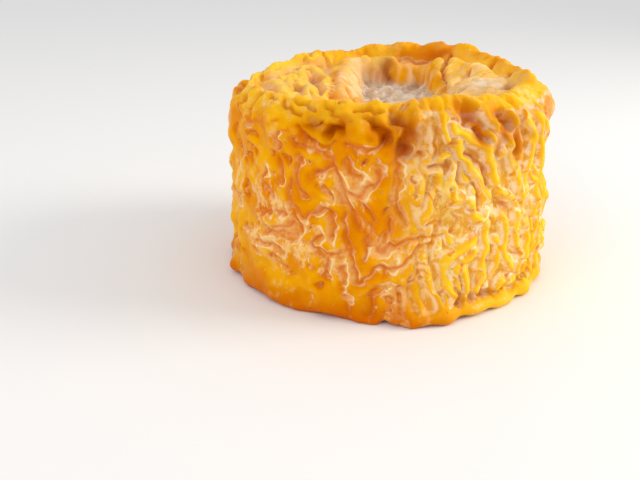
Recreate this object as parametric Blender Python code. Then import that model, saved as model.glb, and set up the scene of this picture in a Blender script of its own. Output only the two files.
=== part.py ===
"""A whole washed-rind soft cheese: a drum with a sunken top, in a rind that has shrunk into folds.

Metres, +Z up. The origin is under the middle of the drum's box, on the surface that it stands on.
The drum is a sheet rolled round a profile that changes with the direction. Its folds are worked out
on two flat charts, one of the side and one of the top, as distances to creases and ridges. The main
ones are placed by hand, and the rest lie where soft noise crosses zero.
"""

import bmesh
import bpy
import numpy as np

NODE = "cheese"
MM = 0.001

# Driving dimensions of the drum
DRUM_RADIUS = 41.3 * MM
WAIST_RADIUS = 40.8 * MM
FOOT_RADIUS = 42.4 * MM
UNDERSIDE_RADIUS = 38.5 * MM
LIP_RADIUS = 36.8 * MM
HOLLOW_RADIUS = 31.6 * MM
RIM_HEIGHT = 51.3 * MM
TERRACE_HEIGHT = 47.4 * MM
WELL_FLOOR_HEIGHT = 42.3 * MM

# The well: where its slope starts on the left, and where its other sides stand
WELL_LEFT, WELL_LEFT_SLOPE = -11.5 * MM, 6 * MM
WELL_RIGHT, WELL_RIGHT_SLOPE = 18 * MM, 3.2 * MM
WELL_FRONT, WELL_FRONT_SLOPE = -23 * MM, 4 * MM
WELL_BACK, WELL_BACK_SLOPE = 28.5 * MM, 2.6 * MM

# Folds
PLATE_SIZE = 2.8 * MM
PLATE_HEIGHT = 1.4 * MM
PILLOW_HEIGHT = 0.6 * MM
RIDGE_SIZE = 3.5 * MM
RIDGE_HEIGHT = 2.9 * MM
RIM_FOLD_SIZE = 6.5 * MM
RIM_FOLD_DEPTH = 1.5 * MM
GULLY_DEPTH = 3.3 * MM
FOOT_GAP_DEPTH = 1.3 * MM
TOP_FOLD_SIZE = 3.3 * MM
TOP_FOLD_HEIGHT = 1.3 * MM
ROPE_SIZE = 4.6 * MM
ROPE_HEIGHT = 1.7 * MM
TOP_PIT_DEPTH = 1.2 * MM
RELIEF_MIDDLE = 0.9 * MM

# Charts, as rows and columns of square cells, and how much their relief is smoothed
CHART_CELL = 0.22 * MM
CHART_MARGIN = 8 * MM
SIDE_CHART = (358, 1180)
TOP_CHART = (418, 418)
SMOOTHING = 2.3 * MM

# The sheet that becomes the rind: columns run round the drum, rows from under it to the hollow
COLUMNS = 360
STEPS = 12
UNDERSIDE_ROWS = 5
SIDE_ROWS = 100
HOLLOW_ROWS = 40
MOST_TRIANGLES = 10600

# Where the rim stands higher or lower: direction in degrees, width in degrees, rise
RIM_WAVES = [
    (133, 9, 1.3 * MM),
    (101, 6, -1.2 * MM),
    (75, 5, -1.7 * MM),
    (72, 27, 2.5 * MM),
    (165, 42, -2.5 * MM),
    (-116, 4.5, -1.4 * MM),
    (-107.5, 6, 0.5 * MM),
    (-101, 4, -0.4 * MM),
    (-70, 12, 0.8 * MM),
    (-47, 12, -0.6 * MM),
    (-5, 25, 0.7 * MM),
]
# The main creases of the side: direction in degrees, height in mm
CREASES = [
    [(-106, 39.3), (-103.6, 34), (-102.5, 30.3), (-99.5, 27.5)],
    [(-102.3, 26.5), (-99.3, 16), (-98, 11), (-91, 13.7), (-80, 16.8), (-73, 19.5)],
    [(-87.8, 26), (-90.8, 18.2), (-80, 20.8), (-70, 21.3)],
    [(-83.7, 42), (-85.6, 34), (-82.5, 25)],
    [(-119, 45.7), (-113, 40.9), (-107, 38.9)],
    [(-119, 38.5), (-118.4, 33), (-117, 29.5)],
    [(-120, 26.2), (-111, 26.4), (-106, 20.5)],
    [(-103.2, 14), (-102, 9), (-97, 3.5)],
    [(-101, 31.8), (-92.3, 34.3), (-91.2, 37.5)],
    [(-147, 43.6), (-132, 45), (-126, 46.2)],
    [(-65, 41), (-57, 35.5), (-55.6, 32)],
]
# Folds of the rim
RIM_FOLDS = [
    [(-119, 46.5), (-113, 42), (-108, 41.5)],
    [(-110.5, 52), (-103.8, 49.6), (-101.5, 47.3)],
    [(-97, 48.8), (-90.3, 44.3), (-89, 42)],
    [(-79.5, 52.5), (-77.5, 44.5), (-79.5, 41)],
    [(-67.5, 53), (-66.3, 49.5), (-63, 47)],
    [(-57, 52), (-55.5, 49), (-53, 46.5)],
    [(-50.5, 51.5), (-49.5, 48), (-47.5, 45)],
]
# Wide hollows of the side
GULLIES = [
    [(-86.3, 49.6), (-83.5, 48.2), (-82.3, 45.8), (-83.7, 42.5)],
    [(-93.5, 47.6), (-90.5, 46), (-88.7, 43.8)],
    [(-108, 45), (-103.5, 46.6)],
    [(-64.5, 50), (-61.5, 48), (-59.5, 44.5)],
    [(-52, 48.5), (-49.5, 44.5)],
]
# The gap over the flange at the foot
FOOT_GAP = [
    [(-64, 6.2), (-63, 4.8), (-50, 4.6), (-37, 5.8), (-28, 7.5)],
]
# Ridges that stand up between the hollows
RIDGES = [
    [(-69, 46.5), (-58.5, 42), (-53, 33)],
    [(-68, 43), (-61.5, 36.8), (-55.8, 29.5)],
    [(-56, 49), (-49.5, 44.3), (-44, 34), (-42, 30)],
    [(-60, 20.2), (-69.8, 15.5), (-66, 6)],
    [(-55, 22.5), (-57, 13.5), (-58, 7)],
    [(-49, 25), (-47.3, 15), (-43.8, 10.3)],
    [(-48, 48.4), (-43, 42.9), (-42.5, 37.8)],
    [(-40, 47.9), (-36.5, 36.8), (-38.5, 32.8), (-36, 27)],
    [(-34, 46.7), (-28, 35), (-30, 28), (-28, 21)],
    [(-44.5, 33.6), (-35, 20.3), (-36, 12)],
    [(-42, 23.6), (-42.5, 19.3), (-40, 13.3)],
    [(-25, 45), (-20, 31), (-20, 12)],
]
# Creases, ropes, wider folds and pits of the top, in mm from the middle
TOP_CREASES = [
    [(-14.6, 16), (-14, -8), (-12.5, -22)],
    [(15.6, 17), (15.2, 4), (16.5, -9)],
    [(18.2, 3.7), (22, 13), (32, 22)],
    [(17, -9), (25.6, 0), (32, 9)],
    [(15.4, 17), (17, 26), (18, 32)],
    [(-9, 33.5), (5, 32.5), (17, 29)],
]
TOP_ROPES = [
    [(-23, 10.8), (-23.6, 15.5), (-22.3, 19), (-17.7, 8), (-14.6, -8), (-15.2, -17.5)],
    [(-24, 12), (-21.4, 1), (-19.6, -9), (-19.2, -20)],
    [(-25.7, 4.3), (-25.3, -4.7), (-23.6, -12.8), (-21.9, -20.4)],
]
TOP_FOLDS = [
    [(-30.5, -1.5), (-28.6, -3.8), (-26.8, -7.5), (-25.2, -14.5), (-23.8, -22)],
    [(-34, -12.5), (-31.6, -13.8), (-28.9, -18.4), (-25.4, -24.5)],
    [(-31.5, 7), (-29.5, 12), (-26.5, 18)],
]
TOP_PITS = [
    [(-19.3, 6), (-17.9, -3), (-16.9, -11)],
    [(-30, -10.5), (-28.1, -15.2), (-26.4, -19.8)],
]

CREST_RING = 12
HOLLOW_RING = 14


def ease(share):
    """From 0 to 1, level at both ends."""
    share = np.clip(share, 0, 1)
    return share * share * (3 - 2 * share)


def near(angle, middle, width):
    """1 at one direction round the drum, in degrees, falling away to 0 at either side."""
    away = (angle - middle + 180) % 360 - 180
    return np.exp(-((away / width) ** 2))


def bed(distance, width):
    """1 on a line, 0 away from it."""
    return np.exp(-((distance / width) ** 2))


def core_rings(angle):
    """Rings (radius, height) that the drum passes through, from under its middle to the hollow's."""
    flat = np.zeros_like(angle)
    oval = np.cos(np.radians(2 * (angle + 60)))
    lobes = np.cos(np.radians(3 * (angle + 20)))
    foot = FOOT_RADIUS + 2.4 * MM * near(angle, -74, 14) + 0.5 * MM * near(angle, -25, 45)
    side = DRUM_RADIUS + 0.6 * MM * oval + 0.4 * MM * lobes
    waist = WAIST_RADIUS + 0.5 * MM * oval + 0.5 * MM * lobes
    crest = RIM_HEIGHT + sum(rise * near(angle, middle, width) for middle, width, rise in RIM_WAVES)
    shoulder = 1.3 * near(angle, 180, 28) + 1.1 * near(angle, 0, 22)
    collar = side + 0.3 * MM - 0.5 * MM * near(angle, -112, 14) - 0.8 * MM * shoulder
    tuck = 1.3 * MM + 1.2 * MM * near(angle, -45, 22)
    lip = LIP_RADIUS + 0.4 * MM * lobes
    under_folds = TERRACE_HEIGHT + 0.6 * MM
    rings = [
        (flat, flat),
        (UNDERSIDE_RADIUS / 2, flat),
        (UNDERSIDE_RADIUS, flat),
        (foot - 0.7 * MM, 0.5 * MM),
        (foot, 2.0 * MM),
        (foot - tuck, 4.0 * MM),
        (side - 0.3 * MM, 7.2 * MM),
        (side + 0.1 * MM, 12.5 * MM),
        (waist, 26 * MM),
        (side - 0.2 * MM, 38 * MM),
        (collar, 46 * MM),
        (side - 1.4 * MM - 1.8 * MM * shoulder, crest - 2.2 * MM - 0.4 * MM * shoulder),
        (lip - 0.8 * MM * shoulder, crest),
        (lip - 2.8 * MM, crest - 1.1 * MM),
        (HOLLOW_RADIUS + 0.4 * MM * lobes, under_folds + 0.6 * MM),
        (22 * MM, under_folds),
        (10 * MM, under_folds),
        (flat, under_folds),
    ]
    return np.array([[radius + flat, height + flat] for radius, height in rings])


def through(rings, steps):
    """A smooth line through the rings, with this many steps from one to the next."""
    ends = np.concatenate([rings[:1], rings, rings[-1:]])
    line = []
    for i in range(len(rings) - 1):
        a, b, c, d = ends[i : i + 4]
        for t in np.arange(steps) / steps:
            bend = (-a + 3 * b - 3 * c + d) * t**3 + (2 * a - 5 * b + 4 * c - d) * t * t
            line.append((bend + (c - a) * t + 2 * b) / 2)
    return np.array(line + [rings[-1]])


def well_shape(x, y):
    """Share of the well, from 1 on its floor to 0 on the terrace round it. Its outline wavers."""
    x, y = x + 0.4 * MM * np.sin(y / (2.1 * MM)), y + 0.9 * MM * np.sin(x / (2.4 * MM))
    narrowing = 0.03 * np.maximum(-6 * MM - y, 0) ** 2 / MM
    left = ease((x - narrowing - WELL_LEFT) / WELL_LEFT_SLOPE)
    right = ease((WELL_RIGHT - 0.2 * np.maximum(y, 0) - narrowing - x) / WELL_RIGHT_SLOPE)
    ends = ease((y - WELL_FRONT) / WELL_FRONT_SLOPE) * ease((WELL_BACK - y) / WELL_BACK_SLOPE)
    return left * right * ends


def hollow_height(x, y):
    """Height of the sunken top under its folds: a terrace round the well, with blocks on three sides."""
    well = well_shape(x, y)
    left_block = 1.6 * MM * ease((-x - 11 * MM) / (9 * MM))
    right_block = 2.2 * MM * ease((x - 15 * MM) / (12 * MM))
    right_block += 3.4 * MM * ease((y - 12 * MM) / (16 * MM)) * ease((x - 10 * MM) / (5 * MM))
    ledge = ease((4 * MM - x) / (2.5 * MM)) * ease((x + 16 * MM) / (4 * MM))
    back_block = 3.0 * MM * ease((y - 25 * MM) / (5 * MM)) * ledge
    slab = 1.4 * MM * bed(x + 12 * MM + 0.7 * MM * np.sin(y / (4.5 * MM)), 2.6 * MM)
    slab *= ease((33 * MM - y) / (8 * MM)) * ease((y + 16 * MM) / (8 * MM))
    terrace = TERRACE_HEIGHT + left_block + right_block + back_block + slab
    return terrace * (1 - well) + WELL_FLOOR_HEIGHT * well


class Chart:
    """A flat map of part of the rind. Its cells are square, and it joins up from side to side."""

    def __init__(self, rows, columns):
        self.shape = (rows, columns)
        self.up = np.fft.fftfreq(rows, CHART_CELL)[:, None]
        self.along = np.fft.rfftfreq(columns, CHART_CELL)[None, :]

    def soft(self, field, size):
        """The field with everything finer than about this size smoothed away."""
        rate = np.hypot(self.along, self.up)
        return np.fft.irfft2(np.fft.rfft2(field) * np.exp(-2 * (rate * size) ** 2), self.shape)

    def noise(self, size, seed, stretch=1, lean=0):
        """Smooth uneven values with a spread of 1, stretched along a direction leaning from upright."""
        grains = np.random.default_rng(seed).standard_normal(self.shape)
        lean = np.radians(lean)
        across = self.along * np.cos(lean) - self.up * np.sin(lean)
        length = self.along * np.sin(lean) + self.up * np.cos(lean)
        keep = np.exp(-2 * ((across * size) ** 2 + (length * size * stretch) ** 2))
        field = np.fft.irfft2(np.fft.rfft2(grains) * keep, self.shape)
        return field / field.std()

    def crossings(self, size, stretch, seed, leans, patch=9 * MM):
        """Distance to the lines where noise crosses zero. Its lean differs from place to place."""
        shares = [np.exp(1.6 * self.noise(patch, seed + 5 + i)) for i in range(len(leans))]
        fields = [self.noise(size, seed + i, stretch, lean) for i, lean in enumerate(leans)]
        field = sum(share * part for share, part in zip(shares, fields)) / sum(shares)
        slope = np.gradient(field, CHART_CELL)
        return np.abs(field) / (np.hypot(*slope) + 1e-9)

    def away(self, lines, most=6 * MM):
        """Distance to the nearest of the lines, whose points are (row, column)."""
        far = np.full(self.shape, most)
        reach = np.arange(-int(most / CHART_CELL), int(most / CHART_CELL) + 1)
        for line in lines:
            for row, column in through(np.array(line, float), 10):
                rows = round(row) + reach
                rows = rows[(rows >= 0) & (rows < self.shape[0])]
                columns = round(column) + reach
                gap = CHART_CELL * np.hypot((rows - row)[:, None], (columns - column)[None, :])
                window = np.ix_(rows, columns % self.shape[1])
                far[window] = np.minimum(far[window], gap)
        return far

    def read(self, field, row, column):
        """The field's value between its cells."""
        row = np.clip(row, 0, self.shape[0] - 1.001)
        low, left = row.astype(int), np.floor(column).astype(int)
        up, right = row - low, column - left
        left, beyond = left % self.shape[1], (left + 1) % self.shape[1]
        below = field[low, left] * (1 - right) + field[low, beyond] * right
        above = field[low + 1, left] * (1 - right) + field[low + 1, beyond] * right
        return below * (1 - up) + above * up

    def wavering(self, reach, seed):
        """A function that pushes a field's lines about by this much, so that they run unevenly."""
        rows, columns = np.mgrid[0 : self.shape[0], 0 : self.shape[1]].astype(float)
        push_up = self.noise(2.2 * MM, seed) * reach / CHART_CELL
        push_along = self.noise(2.2 * MM, seed + 1) * reach / CHART_CELL
        return lambda field, share=1: self.read(field, rows + push_up * share, columns + push_along * share)


def clear_of(distance):
    """Keeps the folds that come by themselves off the ones placed by hand."""
    return 2.5 * MM * ease((2.6 * MM - distance) / (1.5 * MM))


def side_relief(height_at):
    """Chart of the side and the rise of its folds. height_at gives the height of a row."""
    chart = Chart(*SIDE_CHART)
    rows, columns = chart.shape
    height = height_at(np.arange(rows) * CHART_CELL - CHART_MARGIN)[:, None] + np.zeros(chart.shape)
    angle = (np.arange(columns) * 360 / columns - 180)[None, :] + np.zeros(chart.shape)
    wave = chart.wavering(0.45 * MM, 11)

    def distance_to(lines, share=0.8):
        up = np.arange(rows)
        placed = [
            [(np.interp(z * MM, height[:, 0], up), (a + 180) / 360 * columns) for a, z in line]
            for line in lines
        ]
        return wave(chart.away(placed), share)

    crease, gully, foot_gap = distance_to(CREASES), distance_to(GULLIES), distance_to(FOOT_GAP)
    ridge_line, rim_fold = distance_to(RIDGES, 0.5), distance_to(RIM_FOLDS)
    patchy = chart.noise(4 * MM, 51)
    rim = ease((height - 43 * MM) / (3.5 * MM))
    lip = ease((height - 48 * MM) / (3 * MM))
    foot = ease((4.2 * MM - height) / (2.5 * MM))
    front = near(angle, -85, 30)
    # The folds are deep and close on the right, and broad on the left and at the back
    deep = ease((np.cos(np.radians(angle + 30)) - 0.5) / 0.3)

    low = wave(chart.crossings(PLATE_SIZE, 1.35, 100, (-45, 0, 45)))
    low += clear_of(np.minimum(np.minimum(crease, gully), foot_gap))
    low += 2.6 * MM * ease(patchy + 0.7) + 3 * MM * np.maximum(lip, foot)
    low += 2 * MM * ease((10 * MM - height) / (4 * MM)) * near(angle, -135, 30)
    high = wave(chart.crossings(RIDGE_SIZE, 3.4, 200, (-14, 0, 14)), 0.35)
    high += clear_of(ridge_line) + 0.5 * MM * ease((patchy - 0.1) / 1.2)
    auto_fold = wave(chart.crossings(RIM_FOLD_SIZE, 1.2, 600, (-50, 0, 50)))
    auto_fold += clear_of(np.minimum(rim_fold, gully)) + 2 * MM * ease(patchy - 0.1)

    # Valleys between the plates are cracks in some places and pockets in others
    widening = ease((chart.noise(2.6 * MM, 71) - 0.3) / 1.6) * (0.5 + 0.4 * front)
    brim = np.minimum(crease - 0.2 * MM - 1.3 * MM * widening, low - 0.1 * MM - 1.5 * MM * widening)
    brim += 3 * MM * rim
    pillow = PILLOW_HEIGHT * (1 - np.exp(-np.maximum(brim, 0) / (2 * MM)))
    plates = PLATE_HEIGHT * (1 - 0.25 * front) * ease((brim + 0.6 * MM) / (1.6 * MM)) + pillow
    # Upright ropes with soft hollows between, which run out below the crest
    smooth_from = 48.3 * MM - 3.5 * MM * near(angle, 45, 60)
    ridge = bed(np.minimum(ridge_line, high), 1.6 * MM)
    ridge = 1 - (1 - ridge) * (1 - np.maximum(ease((height - smooth_from) / (3 * MM)), foot))
    ropes = (RIDGE_HEIGHT * ridge + 0.4 * MM * (1 - ridge)) * (1 - 0.7 * bed(crease, 0.9 * MM))
    # The rim's own folds
    fold = np.minimum(rim_fold, auto_fold + 1 * MM * (1 - rim))
    fold_cut = bed(fold, 0.75 * MM) * np.maximum(rim, bed(rim_fold, 1.5 * MM)) * (1 - 0.6 * deep)
    fold_cut *= (1 - 0.7 * near(angle, 180, 40)) * (1 - 0.9 * near(angle, 55, 65))

    calm = 1 - 0.45 * near(angle, 180, 50) - 0.45 * near(angle, 5, 30)
    rise = (plates * (1 - deep) + ropes * deep) * calm * (1 - 0.5 * np.maximum(lip, foot))
    rise += (0.7 - 0.3 * deep) * MM * lip + 0.2 * MM * foot
    rise += chart.noise(5 * MM, 61) * (0.5 - 0.2 * lip) * MM
    rise += (chart.noise(8 * MM, 63) * 0.25 + chart.noise(3.2 * MM, 65) * (0.06 + 0.14 * front)) * rim * MM
    rise -= RIM_FOLD_DEPTH * fold_cut + FOOT_GAP_DEPTH * bed(foot_gap, 1.2 * MM)
    rise -= GULLY_DEPTH * (1 - 0.35 * deep) * bed(gully, (1.35 + 0.7 * deep) * MM)
    return chart, chart.soft(rise, SMOOTHING)


def rounded(distance, radius):
    """Height of a half-round rope, as a share of its radius."""
    return np.sqrt(np.maximum(1 - (distance / radius) ** 2, 0))


def top_relief():
    """Chart of the top, seen from above, and its rise: ropes on the left, long folds on the right."""
    chart = Chart(*TOP_CHART)
    wave = chart.wavering(0.35 * MM, 21)
    cells = chart.shape[0]
    middle = cells / 2

    def distance_to(lines):
        placed = [
            [(middle + y * MM / CHART_CELL, middle + x * MM / CHART_CELL) for x, y in line] for line in lines
        ]
        return chart.away(placed)

    crease, hole = wave(distance_to(TOP_CREASES), 0.8), wave(distance_to(TOP_PITS), 0.8)
    rope_line, wide_line = distance_to(TOP_ROPES), distance_to(TOP_FOLDS)
    x = (np.arange(cells) - middle)[None, :] * CHART_CELL + np.zeros(chart.shape)
    y = x.T
    left = ease((-14.5 * MM - x) / (2 * MM))
    left = np.maximum(left, ease((-16 * MM - y) / (3 * MM)) * ease((14 * MM - x) / (4 * MM)))
    right = ease((x - 12 * MM) / (4 * MM))
    clear = 3 * MM * ease((5 * MM - np.minimum(np.minimum(crease, rope_line), wide_line)) / (2 * MM))
    rope = wave(chart.crossings(ROPE_SIZE, 1.3, 400, (-45, 0, 45)), 0.5) + clear + 3 * MM * (1 - left)
    rope = np.maximum(rounded(np.minimum(rope, rope_line), 1.15 * MM), rounded(wide_line, 2.1 * MM))
    fold = wave(chart.crossings(TOP_FOLD_SIZE, 2.6, 500, (-56, -40))) + clear
    fold -= 0.8 * MM * ease(chart.noise(3 * MM, 72))
    fold += 3 * MM * ease((np.hypot(x, y) - 28.5 * MM) / (3 * MM))
    flat = ease((np.minimum(fold - 0.3 * MM, crease - 0.4 * MM) + 0.4 * MM) / (1.3 * MM))
    plain = 1 - left - right
    rise = ROPE_HEIGHT * rope + (right * TOP_FOLD_HEIGHT * flat + plain * MM) * (1 - rope)
    rise += (0.45 - 0.3 * plain) * chart.noise(5 * MM, 62) * MM
    rise -= 0.9 * MM * bed(crease, 1.0 * MM) + TOP_PIT_DEPTH * bed(hole, 1.3 * MM)
    return chart, chart.soft(rise, SMOOTHING)


def row_places(run):
    """Where the sheet's rows lie along the profile, and where its foot and other parts start."""
    ring_at = run[::STEPS]
    edge, foot, crest, inside = ring_at[1], ring_at[2], ring_at[CREST_RING], ring_at[HOLLOW_RING]
    rows = np.concatenate(
        [
            [0, edge / 2],
            np.linspace(edge, foot, UNDERSIDE_ROWS, endpoint=False),
            np.linspace(foot, inside, SIDE_ROWS, endpoint=False),
            np.linspace(inside, run[-1], HOLLOW_ROWS),
        ]
    )
    return rows, edge, foot, crest


def rind_points():
    """Points of the folded rind, as rows of columns."""
    angle = np.arange(COLUMNS) * 360 / COLUMNS - 180
    line = through(core_rings(angle), STEPS)
    middle = line.mean(axis=2)
    run = np.concatenate([[0], np.cumsum(np.hypot(*np.diff(middle, axis=0).T))])
    rows, edge, foot, crest = row_places(run)
    place = np.interp(rows, run, np.arange(len(run)))
    first = np.minimum(place.astype(int), len(run) - 2)
    share = (place - first)[:, None, None]
    radius, height = np.moveaxis(line[first] * (1 - share) + line[first + 1] * share, 1, 0)
    turn = np.radians(angle)
    x, y = radius * np.cos(turn), radius * np.sin(turn)
    past_crest = rows[:, None] > crest
    inner = np.where(past_crest, ease((33.5 * MM - radius) / (4.5 * MM)), 0)
    core = np.stack([x, y, height * (1 - inner) + hollow_height(x, y) * inner], -1)
    outward = np.cross(np.roll(core, -1, 1) - np.roll(core, 1, 1), np.gradient(core, axis=0))
    outward /= np.maximum(np.linalg.norm(outward, axis=-1, keepdims=True), 1e-12)

    from_foot = (rows - foot)[:, None] + 0 * radius
    seen_height = middle[:, 1] + 0.39 * (DRUM_RADIUS - middle[:, 0])
    side, side_rise = side_relief(lambda s: np.interp(s + foot, run, seen_height))
    top, top_rise = top_relief()
    side_row = (from_foot + CHART_MARGIN) / CHART_CELL
    side_column = (angle + 180) / 360 * side.shape[1] + 0 * radius
    half = top.shape[0] / 2
    on_top = np.where(past_crest, ease((36 * MM - radius) / (4 * MM)), 0)
    rise = side.read(side_rise, side_row, side_column) * (1 - on_top)
    rise += top.read(top_rise, y / CHART_CELL + half, x / CHART_CELL + half) * on_top
    well_floor = np.where(past_crest, ease((well_shape(x, y) - 0.65) / 0.3), 0)
    fade = ease((rows[:, None] - edge) / (18 * MM)) * ease((from_foot + 1 * MM) / (6 * MM))
    points = core + outward * ((rise - RELIEF_MIDDLE) * fade * (1 - 0.7 * well_floor))[..., None]
    points[..., 2] = np.maximum(points[..., 2], 0)
    middle_of_box = (points.max(axis=(0, 1)) + points.min(axis=(0, 1))) / 2
    points[..., :2] -= middle_of_box[:2]
    return points


def rolled_sheet(points):
    """A flat grid whose corners are moved to the points, rolled up and closed at both ends."""
    rows, columns, _ = points.shape
    sheet = bmesh.new()
    bmesh.ops.create_grid(sheet, x_segments=columns, y_segments=rows - 1, size=0.5)
    for corner in sheet.verts:
        column = round((corner.co.x + 0.5) * columns) % columns
        row = round((corner.co.y + 0.5) * (rows - 1))
        at_end = row in (0, rows - 1)
        corner.co = points[row].mean(axis=0) if at_end else points[row, column]
    bmesh.ops.remove_doubles(sheet, verts=sheet.verts, dist=1e-7)
    bmesh.ops.recalc_face_normals(sheet, faces=sheet.faces)
    mesh = bpy.data.meshes.new(NODE)
    sheet.to_mesh(mesh)
    sheet.free()
    return mesh


def rind_material():
    """Moist orange rind."""
    material = bpy.data.materials.new("washed_rind")
    material.use_nodes = True
    shader = material.node_tree.nodes["Principled BSDF"]
    shader.inputs["Base Color"].default_value = (0.79, 0.34, 0.01, 1)
    shader.inputs["Roughness"].default_value = 0.45
    shader.inputs["Metallic"].default_value = 0
    return material


def main():
    for leftover in list(bpy.data.objects):
        bpy.data.objects.remove(leftover)
    part = bpy.data.collections.new("washed_rind_cheese")
    bpy.context.scene.collection.children.link(part)
    mesh = rolled_sheet(rind_points())
    mesh.shade_smooth()
    mesh.materials.append(rind_material())
    cheese = bpy.data.objects.new(NODE, mesh)
    part.objects.link(cheese)
    thinner = cheese.modifiers.new("fewer_faces", "DECIMATE")
    thinner.ratio = MOST_TRIANGLES / (2 * len(mesh.polygons))


main()
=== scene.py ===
"""Looks of a whole washed-rind cheese: its buckled orange skin, the bloom in its folds and a plain stage.

The drum is a sheet rolled round a profile that changes with the direction. Its relief is worked out
on two flat charts, one of the side and one of the top, as distances to creases and ridges. The main
creases are listed one by one, and the rest lie where soft noise crosses zero.
"""

import bmesh
import bpy
import numpy as np
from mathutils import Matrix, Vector


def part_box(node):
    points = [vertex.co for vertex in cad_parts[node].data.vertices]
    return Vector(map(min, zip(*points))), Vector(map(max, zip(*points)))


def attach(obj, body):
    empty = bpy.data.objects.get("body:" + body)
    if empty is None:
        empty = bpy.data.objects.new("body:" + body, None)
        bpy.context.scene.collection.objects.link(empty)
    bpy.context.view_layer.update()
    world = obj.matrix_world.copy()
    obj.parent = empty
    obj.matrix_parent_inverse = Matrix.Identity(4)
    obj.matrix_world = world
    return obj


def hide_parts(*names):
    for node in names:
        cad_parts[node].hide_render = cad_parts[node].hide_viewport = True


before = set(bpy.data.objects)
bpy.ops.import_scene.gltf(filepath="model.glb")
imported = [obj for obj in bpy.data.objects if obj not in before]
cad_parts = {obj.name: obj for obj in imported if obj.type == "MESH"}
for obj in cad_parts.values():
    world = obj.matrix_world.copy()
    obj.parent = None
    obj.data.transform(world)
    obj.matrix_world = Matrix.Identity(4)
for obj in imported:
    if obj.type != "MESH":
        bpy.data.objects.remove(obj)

bl_info = {
    "name": "Washed-rind cheese",
    "version": (1, 0, 0),
    "blender": (4, 5, 0),
    "location": "3D View > Sidebar > Cheese",
    "description": "Dresses a drum of cheese in a folded, blooming rind",
    "category": "Add Mesh",
}

MM = 0.001
TURN = 2 * np.pi
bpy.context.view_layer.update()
CHEESE_LOW, CHEESE_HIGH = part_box("cheese")
CHEESE_WIDTH = (CHEESE_HIGH[0] - CHEESE_LOW[0] + CHEESE_HIGH[1] - CHEESE_LOW[1]) / 2

# How far the folds stand out from the drum, and the rim's highest wave over its usual height
FOLD_REACH = 2.65 * MM
RIM_REACH = 3.3 * MM

# Where the rim stands higher or lower: direction in degrees, width in degrees, rise
RIM_WAVES = [
    (133, 9, 1.3 * MM),
    (101, 6, -1.2 * MM),
    (75, 5, -1.7 * MM),
    (72, 27, 2.5 * MM),
    (165, 42, -2.5 * MM),
    (-116, 4.5, -1.4 * MM),
    (-107.5, 6, 0.5 * MM),
    (-101, 4, -0.4 * MM),
    (-70, 12, 0.8 * MM),
    (-47, 12, -0.6 * MM),
    (-5, 25, 0.7 * MM),
]

# Narrow creases of the side, as points (direction in degrees, height in mm)
CREASES = [
    [(-106, 39.3), (-104.8, 37), (-103.6, 34), (-102.5, 30.3), (-99.5, 27.5)],
    [
        (-102.3, 26.5), (-101, 21), (-99.3, 16), (-98, 11), (-95.8, 10), (-91, 13.7), (-86, 14),
        (-80, 16.8), (-73, 19.5),
    ],
    [(-87.8, 26), (-89, 21.5), (-90.8, 18.2), (-87, 19), (-80, 20.8), (-70, 21.3)],
    [(-83.7, 42), (-85.3, 39.5), (-85.6, 34), (-86, 30), (-82.5, 25)],
    [(-119, 45.7), (-116, 43.1), (-113, 40.9), (-110, 40.3), (-107, 38.9)],
    [(-114, 48.7), (-112, 47.6), (-110, 46.9)],
    [(-147, 43.6), (-140, 44.1), (-132, 45), (-126, 46.2)],
    [(-126, 40.2), (-127, 42.7), (-125, 43.8), (-121, 45.2)],
    [(-119.5, 43), (-120, 41.4), (-116, 41)],
    [(-102, 42.1), (-98, 41.9), (-93, 42.1), (-89, 43)],
    [(-132, 33.1), (-133, 30), (-130, 27.3)],
    [(-159, 24.1), (-154, 21.3)],
    [(-137, 14.5), (-131, 14.8), (-125, 14.2)],
    [(-132, 18), (-126, 19), (-119, 19.6)],
    [(-119, 38.5), (-118.4, 33), (-117, 29.5)],
    [(-113.5, 35), (-109, 36), (-106, 38)],
    [(-101, 39), (-100, 36.5), (-97, 35.5)],
    [(-101, 31.8), (-96, 32.6), (-92.3, 34.3), (-91.2, 37.5)],
    [(-96, 30), (-92, 25.7)],
    [(-94, 24.5), (-94, 21), (-95.8, 16)],
    [(-99, 27), (-97.5, 23)],
    [(-120, 26.2), (-116, 24.5), (-111, 26.4), (-107, 26.6), (-106, 20.5)],
    [(-121, 33), (-121.5, 25.5), (-117, 21)],
    [(-128, 20), (-121, 21.7)],
    [(-110, 20.7), (-112, 18.5), (-109, 16.3), (-104, 17)],
    [(-107.5, 15), (-108.5, 10.5)],
    [(-103.2, 14), (-102, 9), (-97, 3.5)],
    [(-96, 2.8), (-92.5, 6), (-90.5, 8.5)],
    [(-90, 3.5), (-86, 6.5)],
    [(-84, 8.5), (-82, 3)],
    [(-127, 37), (-125, 32)],
    [(-75, 41.5), (-75.5, 44.5), (-74, 47.2)],
    [(-65, 41), (-60, 38.5), (-57, 35.5), (-55.6, 32)],
    [(-60.5, 33), (-58, 30), (-58.3, 27)],
    [(-66.5, 27), (-65, 24.5), (-67, 21.5)],
    [(-76, 24.3), (-70, 24.2)],
    [(-76.5, 38.6), (-70.5, 38.4)],
]
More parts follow.
